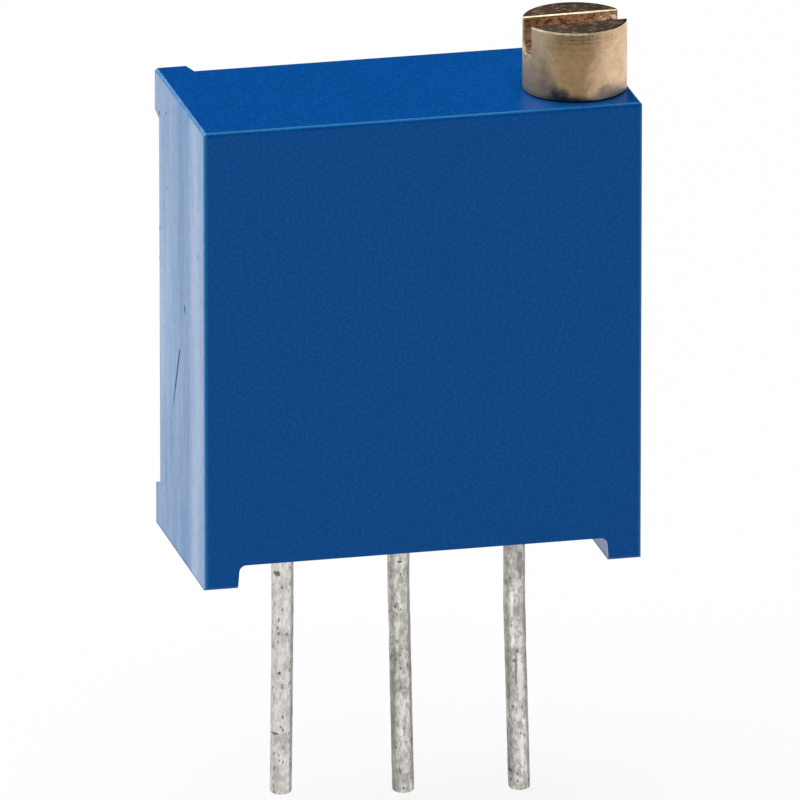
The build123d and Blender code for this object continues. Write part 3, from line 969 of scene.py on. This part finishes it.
@dataclass
class Screw:
    """The slotted brass screw with its grooves, worm thread and tail."""

    head_height: float = 1.51
    edge_round: float = 0.030
    worn_round: float = 0.055
    slot_width: float = 0.64
    slot_depth: float = 0.67
    slot_angle: float = 2.0
    shank_radius: float = 0.75
    shank_length: float = 1.92
    seal_radius: float = 0.50
    seal_depths: tuple[float, float] = (0.84, 0.56)
    clip_radius: float = 0.45
    clip_depths: tuple[float, float] = (1.52, 1.23)
    tail_radius: float = 0.31
    tail_length: float = 0.80
    worm_radius: float = 0.55
    worm_length: float = 1.80
    wheel_teeth: int = 33
    tip_share: float = 0.30
    root_share: float = 0.38
    tooth_share: float = 0.46
    flank_slope: float = 0.364
    thread_sink: float = 0.02
    snap: float = 0.01
    land_steps: int = 44
    slot_steps: int = 8
    turn_steps: int = 36
    finish: TurnedBrass = field(default_factory=TurnedBrass)

    def __post_init__(self) -> None:
        """Reads the axis from the joint, and the radius and levels from the CAD nodes."""
        low, high = (np.array(corner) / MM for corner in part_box("adjusting_screw"))
        x, y, self.case_top = joint_place("screw_turn")
        self.axis = (x, y)
        self.head_radius = float(high[0] - low[0]) / 2.0
        self.low_z, self.top_z = float(low[2]), float(high[2])
        self.floor_z = self.top_z - self.slot_depth
        self.head_z = self.top_z - self.head_height
        self.pitch = 2.0 * math.pi * (x - self.worm_radius) / self.wheel_teeth
        self.core_radius = self.worm_radius - self.root_share * self.pitch

    def build(self, effects: EffectLibrary) -> bpy.types.Object:
        """Makes the screw and dresses it.

        Args:
            effects: The shared effects.

        Returns:
            The screw's object.
        """
        shape = Shape()
        self._turned_part(shape)
        self._slotted_head(shape)
        self._thread(shape)
        piece = shape.piece("brass_screw")
        self._weigh_worn_edge(piece)
        round_edges(piece, self.worn_round, 3, weighted=True)
        round_edges(piece, self.edge_round, 3)
        return settle(piece, "screw", "screw_brass", self.finish.material(effects, self), "adjusting_screw")

    def _weigh_worn_edge(self, piece: bpy.types.Object) -> None:
        """Gives a bevel weight to the edges that screwdrivers have worn.

        The slot's upper rear edge has both ends at the top level and half the slot's width behind its middle
        line. The slot's four corners are the upright edges where its walls meet the outer wall.

        Args:
            piece: The screw's object.
        """
        mesh = piece.data
        points = np.zeros(3 * len(mesh.vertices))
        ends = np.zeros(2 * len(mesh.edges), dtype=int)
        mesh.vertices.foreach_get("co", points)
        mesh.edges.foreach_get("vertices", ends)
        points = points.reshape(-1, 3) / MM
        ends = ends.reshape(-1, 2)
        turn = math.radians(self.slot_angle)
        off_axis = points[:, :2] - np.array(self.axis)
        behind = off_axis[:, 1] * math.cos(turn) - off_axis[:, 0] * math.sin(turn)
        level = np.isclose(points[:, 2], self.top_z, atol=self.snap)
        rear = level & np.isclose(behind, self.slot_width / 2.0, atol=self.snap)
        outside = np.isclose(np.hypot(*off_axis.T), self.head_radius, atol=self.snap)
        corner = outside & np.isclose(np.abs(behind), self.slot_width / 2.0, atol=self.snap)
        upright = (np.abs(np.diff(points[ends][:, :, :2], axis=1)) < self.snap).all(axis=(1, 2))
        above = points[ends][:, :, 2].min(axis=1) > self.floor_z - self.snap
        worn = rear[ends].all(axis=1) | (corner[ends].all(axis=1) & upright & above)
        weight = mesh.attributes.new("bevel_weight_edge", "FLOAT", "EDGE")
        weight.data.foreach_set("value", worn.astype(float))

    def _angles(self) -> list[np.ndarray]:
        """Angles of the four arcs of the head: a slot end, the rear land, the other slot end, the front land.

        Returns:
            One array of angles for each arc, each ending where the next begins.
        """
        half = math.asin(self.slot_width / 2.0 / self.head_radius)
        start = math.radians(self.slot_angle)
        slot = np.linspace(-half, half, self.slot_steps + 1)
        land = np.linspace(half, math.pi - half, self.land_steps + 1)
        return [start + slot, start + land, start + math.pi + slot, start + math.pi + land]

    def _turned_part(self, shape: Shape) -> None:
        """Adds the profile of tail, core, shank, grooves and lower head, turned about the axis."""
        seal_low, seal_high = (self.case_top - depth for depth in self.seal_depths)
        clip_low, clip_high = (self.case_top - depth for depth in self.clip_depths)
        tail_top = self.low_z + self.tail_length
        shank_end = self.case_top - self.shank_length
        profile = np.array([
            (self.tail_radius, self.low_z), (self.tail_radius, tail_top), (self.core_radius, tail_top),
            (self.core_radius, shank_end), (self.shank_radius, shank_end), (self.shank_radius, clip_low),
            (self.clip_radius, clip_low), (self.clip_radius, clip_high), (self.shank_radius, clip_high),
            (self.shank_radius, seal_low), (self.seal_radius, seal_low), (self.seal_radius, seal_high),
            (self.shank_radius, seal_high), (self.shank_radius, self.head_z), (self.head_radius, self.head_z),
            (self.head_radius, self.floor_z)])
        angles = np.concatenate([arc[:-1] for arc in self._angles()])
        skin = turned(profile[:, 0], profile[:, 1], angles, self.axis)
        shape.patches.append(Patch(skin, round_columns=True))
        shape.loops.append(skin[0])

    def _slotted_head(self, shape: Shape) -> None:
        """Adds both lands with their walls, and the slot's walls and floor between the arcs of the head."""
        right, rear, left, front = self._angles()
        levels = np.array([self.floor_z, self.top_z])
        radii = np.full(2, self.head_radius)
        for arc in (rear, front):
            wall = turned(radii, levels, arc, self.axis)
            shape.patches.append(Patch(wall))
            shape.loops.append(wall[1])
            shape.patches.append(Patch(wall[:, [0, -1]]))
        ends = [turned(radii[:1], levels[:1], arc, self.axis)[0] for arc in (right, left)]
        shape.loops.append(np.concatenate(ends))

    def _thread(self, shape: Shape) -> None:
        """Adds the worm thread: a tooth section carried up a right-hand helix.

        At turn t the section stands at angle pi + t about the axis and at height middle + pitch t / 2 pi. Its
        tip is as wide as a rack tooth's, and its flanks widen inwards by the flank slope.
        """
        half_turn = math.pi * self.worm_length / self.pitch
        turn = np.linspace(-half_turn, half_turn, int(self.turn_steps * half_turn / math.pi) + 1)
        rise = self.tip_share * self.pitch
        inner, outer = self.core_radius - self.thread_sink, self.worm_radius + rise
        tip = self.tooth_share * self.pitch / 2.0 - rise * self.flank_slope
        foot = tip + (outer - inner) * self.flank_slope
        radii = np.array([inner, outer, outer, inner])
        rises = np.array([-foot, -tip, tip, foot])
        x = self.axis[0] + np.outer(radii, np.cos(math.pi + turn))
        y = self.axis[1] + np.outer(radii, np.sin(math.pi + turn))
        middle = joint_place("wheel_turn")[2]
        z = middle + rises[:, None] + self.pitch * turn[None, :] / (2.0 * math.pi)
        strip = np.stack([x, y, z], axis=-1)
        shape.patches.append(Patch(strip, round_rows=True))
        shape.loops += [strip[:, 0], strip[:, -1]]


@dataclass
class Wire:
    """One tinned pin: coined above, straight through the floor, then leaning a little to its cut tip."""

    node: str
    x: float
    length: float
    bend: float
    lean: float
    phase: float
    dent: tuple[float, float, float] = (-1.0, 0.0, 0.0)
    radius: float = 0.24
    coin_half_width: float = 0.31
    coin_half_depth: float = 0.13
    coin_low: float = 0.60
    coin_high: float = 0.74
    tip_round: float = 0.07
    ripple: float = 0.012
    dent_height: float = 0.14
    dent_spread: float = 0.6
    rows: int = 110
    columns: int = 40

    def skin(self) -> Shape:
        """Carries a section along the wire.

        The section is a superellipse |x/a|^n + |y/b|^n = 1 that goes from a circle to the coined flat. Its
        middle leans sideways in proportion to the depth below the bend. Slow sine waves and one dent, a bell
        curve in depth and angle, make the dipped skin uneven. At the tip the radius follows a quarter circle.

        Returns:
            The wire's closed shape.
        """
        top = float(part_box(self.node)[1][2]) / MM
        depth = np.linspace(-top, self.length - self.tip_round, self.rows)
        quarter = np.linspace(0.0, math.pi / 2.0, 6)[1:]
        depth = np.concatenate([depth, self.length - self.tip_round * (1.0 - np.sin(quarter))])
        shrink = np.concatenate([np.zeros(self.rows), self.tip_round * (1.0 - np.cos(quarter))])
        angle = np.linspace(0.0, 2.0 * math.pi, self.columns, endpoint=False)
        flat = smooth_step(-depth, self.coin_low, self.coin_high)[:, None]
        a = self.radius + (self.coin_half_width - self.radius) * flat
        b = self.radius + (self.coin_half_depth - self.radius) * flat
        power = 2.0 + 8.0 * flat
        section = (np.abs(np.cos(angle) / a) ** power + np.abs(np.sin(angle) / b) ** power) ** (-1.0 / power)
        wave = (np.sin(2.1 * depth[:, None] + 2.0 * angle + self.phase)
                + 0.7 * np.sin(5.3 * depth[:, None] - angle + 2.0 * self.phase)
                + 0.5 * np.sin(11.0 * depth[:, None] + 3.0 * angle)) / 2.2
        dent_depth, dent_angle, dent_share = self.dent
        near = np.exp(-(((depth - dent_depth) / self.dent_height) ** 2))[:, None]
        turn = np.angle(np.exp(1j * (angle - dent_angle)))
        hollow = dent_share * near * np.exp(-((turn / self.dent_spread) ** 2))
        bare = 1.0 - flat
        section = section * (1.0 + bare * (self.ripple * (wave - 1.0) - hollow)) - shrink[:, None]
        run = np.clip((depth - self.bend) / (self.length - self.bend), 0.0, None)
        middle = self.x + self.lean * run
        skin = np.stack([middle[:, None] + section * np.cos(angle), section * np.sin(angle),
                         np.outer(-depth, np.ones_like(angle))], axis=-1)
        return Shape([Patch(skin, round_columns=True)], [skin[0], skin[-1]])


@dataclass
class Pins:
    """The three tinned terminals in a line."""

    pitch: float = 2.54
    finish: DippedTin = field(default_factory=DippedTin)

    def build(self, effects: EffectLibrary) -> list[bpy.types.Object]:
        """Makes the three wires and dresses them.

        Args:
            effects: The shared effects.

        Returns:
            The wires' objects, left to right.
        """
        wires = [Wire("left_pin", -self.pitch, 5.49, 1.50, -0.045, 0.4, (4.10, -1.9, 0.05)),
                 Wire("middle_pin", 0.0, 5.67, 0.90, 0.105, 2.1, (2.08, 3.3, 0.10)),
                 Wire("right_pin", self.pitch, 5.81, 1.50, 0.12, 4.0, (2.6, -0.4, 0.04))]
        material = self.finish.material(effects)
        made = []
        for wire in wires:
            piece = wire.skin().piece(wire.node.replace("pin", "wire"))
            made.append(settle(piece, "case", "pin_tin", material, wire.node))
        return made


@dataclass
class Resin:
    """The cast resin: the CAD filling, its crept edge behind and its collars round the pins below."""

    creep_height: float = 0.09
    creep_length: float = 0.22
    sag_height: float = 0.012
    plate_gap: float = 0.03
    film: float = 0.004
    sink: float = 0.03
    steps: int = 72
    collar_inner: float = 0.225
    collar_outer: float = 0.375
    collar_drop: float = 0.10
    collar_sink: float = 0.02
    collar_steps: int = 40
    finish: PlainFinish = PlainFinish("potting_resin", (0.012, 0.060, 0.20), (0.020, 0.080, 0.25), 0.28,
                                      fineness=1.2)

    def build(self, effects: EffectLibrary) -> list[bpy.types.Object]:
        """Dresses the filling and adds the skin behind and the collars below.

        Args:
            effects: The shared effects.

        Returns:
            The added pieces.
        """
        material = self.finish.material(effects)
        dress_node("potting", material)
        added = [settle(self._skin().piece("resin_skin"), "case", "potting_resin", material)]
        for node in ("left_pin", "middle_pin", "right_pin"):
            piece = self._collar(node).piece(node.replace("pin", "collar"))
            added.append(settle(piece, "case", "potting_resin", material))
        return added

    def _skin(self) -> Shape:
        """The resin's rear face: it creeps up the walls by height exp(-distance / length) and sags in waves.

        Returns:
            A closed thin slab whose rear face is the crept surface.
        """
        low, high = (np.array(corner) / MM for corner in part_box("potting"))
        wall_low = float(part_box("substrate")[0][2]) / MM - self.plate_gap
        spread = 0.5 - 0.5 * np.cos(np.linspace(0.0, math.pi, self.steps))
        x, z = np.meshgrid(low[0] + (high[0] - low[0]) * spread, wall_low + (high[2] - wall_low) * spread)
        edge = np.minimum(np.minimum(x - low[0], high[0] - x), np.minimum(z - wall_low, high[2] - z))
        creep = self.creep_height * np.exp(-edge / self.creep_length)
        sag = self.sag_height * (1.0 + np.sin(0.9 * x + 0.4) * np.cos(0.7 * z) * smooth_step(edge, 0.0, 1.0))
        rear = np.stack([x, high[1] + self.film + creep + sag, z], axis=-1)
        rim = np.concatenate([rear[0, :-1], rear[:-1, -1], rear[-1, :0:-1], rear[:0:-1, 0]])
        under = rim.copy()
        under[:, 1] = high[1] - self.sink
        return Shape([Patch(rear), Patch(np.stack([rim, under]), round_columns=True)], [under])

    def _collar(self, node: str) -> Shape:
        """A ring of resin drawn down the pin: its radius falls to the pin's along a quarter circle.

        Args:
            node: The pin's CAD node.

        Returns:
            The collar's closed shape.
        """
        floor = float(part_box("potting")[0][2]) / MM
        turn = np.linspace(0.0, math.pi / 2.0, 7)
        reach = self.collar_outer - self.collar_inner
        lip = self.collar_outer - reach * np.sin(turn)
        fall = floor - self.collar_drop * (1.0 - np.cos(turn)) - self.film
        radii = np.concatenate([lip, [self.collar_inner - self.collar_sink, self.collar_outer]])
        heights = np.concatenate([fall, np.full(2, floor + self.sink)])
        angles = np.linspace(0.0, 2.0 * math.pi, self.collar_steps, endpoint=False)
        middle = {"left_pin": -1.0, "middle_pin": 0.0, "right_pin": 1.0}[node] * Pins.pitch
        ring = turned(radii, heights, angles, (middle, 0.0))
        return Shape([Patch(ring, round_columns=True, round_rows=True)])


@dataclass
class Mechanism:
    """The sealed parts: seal, clip, wheel, wiper, substrate, films and solder, in their CAD forms."""

    seal: PlainFinish = PlainFinish("seal_rubber", (0.030, 0.030, 0.032), (0.016, 0.016, 0.017), 0.6)
    clip: PlainFinish = PlainFinish("clip_steel", (0.56, 0.56, 0.55), (0.44, 0.44, 0.43), 0.35, Kind.METAL)
    wheel: PlainFinish = PlainFinish("wheel_plastic", (0.80, 0.77, 0.68), (0.70, 0.67, 0.58), 0.45)
    wiper: PlainFinish = PlainFinish("wiper_alloy", (0.74, 0.54, 0.34), (0.60, 0.43, 0.26), 0.30, Kind.METAL)
    ceramic: PlainFinish = PlainFinish("ceramic", (0.84, 0.83, 0.79), (0.77, 0.76, 0.72), 0.55)
    track: PlainFinish = PlainFinish("track_film", (0.055, 0.055, 0.060), (0.030, 0.030, 0.034), 0.5)
    film: PlainFinish = PlainFinish("conductor_film", (0.70, 0.68, 0.63), (0.56, 0.54, 0.50), 0.4, Kind.METAL)
    solder: PlainFinish = PlainFinish("solder_alloy", (0.66, 0.66, 0.65), (0.52, 0.52, 0.51), 0.28,
                                      Kind.METAL)

    def dress(self, effects: EffectLibrary) -> None:
        """Gives each sealed part its finish."""
        nodes = {"screw_seal": self.seal, "retaining_clip": self.clip, "worm_wheel": self.wheel,
                 "wiper": self.wiper, "substrate": self.ceramic, "resistive_track": self.track}
        for place in ("left", "middle", "right"):
            nodes[f"{place}_conductor"] = self.film
            nodes[f"{place}_solder"] = self.solder
        made = {finish.name: finish.material(effects) for finish in dict.fromkeys(nodes.values())}
        for node, finish in nodes.items():
            dress_node(node, made[finish.name])


@dataclass(frozen=True)
class Lamp:
    """A square soft lamp that faces the object, in millimetres and watts."""

    name: str
    place: tuple[float, float, float]
    size: float
    power: float
    target: tuple[float, float, float] = (0.0, 0.0, 4.0)

    def hang(self) -> None:
        """Adds the lamp to the scene."""
        data = bpy.data.lights.new(self.name, "AREA")
        data.size = self.size * MM
        data.energy = self.power
        lamp = bpy.data.objects.new(self.name, data)
        lamp.location = Vector(self.place) * MM
        lamp.rotation_euler = (Vector(self.target) - Vector(self.place)).to_track_quat("-Z", "Y").to_euler()
        bpy.context.scene.collection.objects.link(lamp)


@dataclass
class Studio:
    """Camera, floor and soft light. The camera looks from the left front, a little down."""

    azimuth: float = -13.26
    elevation: float = 18.58
    distance: float = 500.0
    pixels_per_mm: float = 46.877
    image_width: float = 800.0
    sensor: float = 36.0
    aim_right: float = 0.034
    aim_up: float = 2.989
    floor_size: float = 6000.0
    floor_gap: float = 0.01
    floor_white: Colour = (0.94, 0.94, 0.94)
    floor_glow: float = 0.88
    world: Colour = (0.006, 0.006, 0.006)
    lamps: tuple[Lamp, ...] = (Lamp("overhead_softbox", (-140.0, 60.0, 620.0), 900.0, 6.7),
                               Lamp("left_softbox", (-620.0, 60.0, 240.0), 420.0, 0.85))

    def build(self) -> None:
        """Sets up the whole stage."""
        bpy.context.scene.view_settings.view_transform = "Standard"
        self._camera()
        self._floor()
        self._world()
        for lamp in self.lamps:
            lamp.hang()

    def _camera(self) -> None:
        """Places the camera on the photograph's line of sight, far away with a long lens."""
        a, e = math.radians(self.azimuth), math.radians(self.elevation)
        back = Vector((math.sin(a) * math.cos(e), -math.cos(a) * math.cos(e), math.sin(e)))
        right = Vector((math.cos(a), math.sin(a), 0.0))
        up = back.cross(right)
        aim = right * self.aim_right + up * self.aim_up
        data = bpy.data.cameras.new("camera")
        data.sensor_width = self.sensor
        data.lens = self.pixels_per_mm * self.distance * self.sensor / self.image_width
        data.clip_start, data.clip_end = 10.0 * MM, 10.0
        camera = bpy.data.objects.new("camera", data)
        camera.location = (aim + back * self.distance) * MM
        camera.rotation_euler = (-back).to_track_quat("-Z", "Y").to_euler()
        bpy.context.scene.collection.objects.link(camera)
        bpy.context.scene.camera = camera

    def _floor(self) -> None:
        """Lays a pale floor at the longest pin's tip; part of its white is its own, so its shadow is soft."""
        level = float(CAD_BOX[0][2]) / MM - self.floor_gap
        side = np.array([-0.5, 0.5]) * self.floor_size
        x, y = np.meshgrid(side, side)
        shape = Shape([Patch(np.stack([x, y, np.full_like(x, level)], axis=-1))])
        floor = shape.piece("floor")
        material = bpy.data.materials.new("floor_white")
        material.use_nodes = True
        material.node_tree.nodes.clear()
        graph = Graph(material.node_tree)
        rays = graph.add("LightPath")
        seen = graph.most(*(rays.outputs[f"Is {kind} Ray"] for kind in ("Camera", "Glossy", "Transmission")))
        paint = graph.add("BsdfDiffuse", {"Color": (*self.floor_white, 1.0)})
        glow = graph.add("Emission", {"Color": (1.0, 1.0, 1.0, 1.0), "Strength": 1.0})
        share = graph.times(seen, self.floor_glow)
        mix = graph.add("MixShader", {0: share, 1: paint.outputs[0], 2: glow.outputs[0]})
        graph.add("OutputMaterial", {"Surface": mix.outputs[0]})
        floor.data.materials.append(material)

    def _world(self) -> None:
        """Sets a dark, even surround."""
        world = bpy.data.worlds.new("surround")
        world.use_nodes = True
        world.node_tree.nodes["Background"].inputs["Color"].default_value = (*self.world, 1.0)
        bpy.context.scene.world = world


def dress_node(node: str, material: bpy.types.Material) -> None:
    """Gives a CAD node a material.

    Args:
        node: Name of the node.
        material: Its new material.
    """
    mesh = frame["nodes"][node].data
    mesh.materials.clear()
    mesh.materials.append(material)
    log.info("dressed %s", node)


def settle(piece: bpy.types.Object, body: str, slot: str, material: bpy.types.Material,
           *nodes: str) -> bpy.types.Object:
    """Dresses a new piece and lets it ride on a body.

    Args:
        piece: The new object.
        body: The CAD body that carries it.
        slot: The record's material slot; not used.
        material: Its material.
        *nodes: CAD nodes that it stands for.

    Returns:
        The piece.
    """
    piece.data.materials.append(material)
    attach(piece, body)
    if nodes:
        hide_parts(*nodes)
    log.info("built %s on %s: %d faces", piece.name, body, len(piece.data.polygons))
    return piece


def main() -> None:
    """Builds and dresses the sub-assemblies in order, then the studio."""
    logging.basicConfig(level=logging.INFO, format="%(message)s")
    effects = EffectLibrary()
    Case().dress(effects)
    Screw().build(effects)
    Pins().build(effects)
    Resin().build(effects)
    Mechanism().dress(effects)
    Studio().build()


if __name__ == "__main__":
    main()
